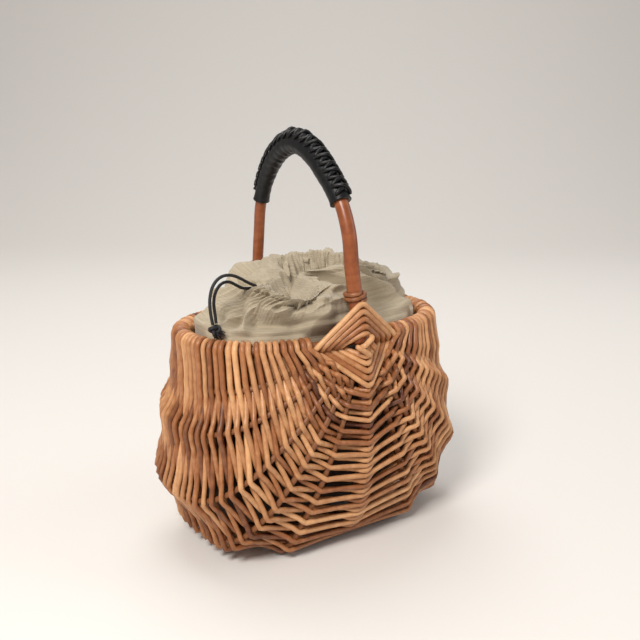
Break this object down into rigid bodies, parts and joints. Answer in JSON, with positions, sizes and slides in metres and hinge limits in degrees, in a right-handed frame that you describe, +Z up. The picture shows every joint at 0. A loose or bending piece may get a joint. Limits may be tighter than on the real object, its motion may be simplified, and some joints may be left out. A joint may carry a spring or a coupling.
{
  "type": "basket box bag",
  "caption": "Oval woven rib basket bag with a bent rod handle in a laced leather sleeve and a gathered cloth liner closed by a draw cord.",
  "frame": {"origin": "centre of the basket's footprint on the surface that it stands on", "axes": "+Z up, +X along the long side of the basket, the handle hoop crosses along Y"},
  "size_m": [0.3005, 0.2071, 0.3796],
  "materials": {
    "rim_rod": "stripped willow rod, satin",
    "handle_rod": "smoothed reddish willow rod, satin",
    "rib_rod": "split willow rod, satin",
    "willow_weaving": "buff willow, lightly glossy",
    "sleeve_leather": "black leather, soft sheen",
    "lacing_leather": "black leather lace",
    "liner_cloth": "beige linen, plain weave",
    "draw_cord": "black round cord"
  },
  "bodies": {
    "root": {"rim_hoop": "rim_rod", "handle_hoop": "handle_rod", "rib_left_1": "rib_rod", "rib_left_2": "rib_rod", "rib_left_3": "rib_rod", "rib_left_4": "rib_rod", "rib_left_5": "rib_rod", "rib_right_1": "rib_rod", "rib_right_2": "rib_rod", "rib_right_3": "rib_rod", "rib_right_4": "rib_rod", "rib_right_5": "rib_rod", "woven_wall": "willow_weaving", "rim_border": "willow_weaving", "front_diamond_lashing": "willow_weaving", "rear_diamond_lashing": "willow_weaving", "grip_sleeve": "sleeve_leather", "grip_lacing": "lacing_leather", "liner_bag": "liner_cloth", "liner_hem": "liner_cloth", "drawcord_hem_loop": "draw_cord", "drawcord_strand_a": "draw_cord", "drawcord_strand_b": "draw_cord", "drawcord_knot": "draw_cord"}
  },
  "joints": []
}
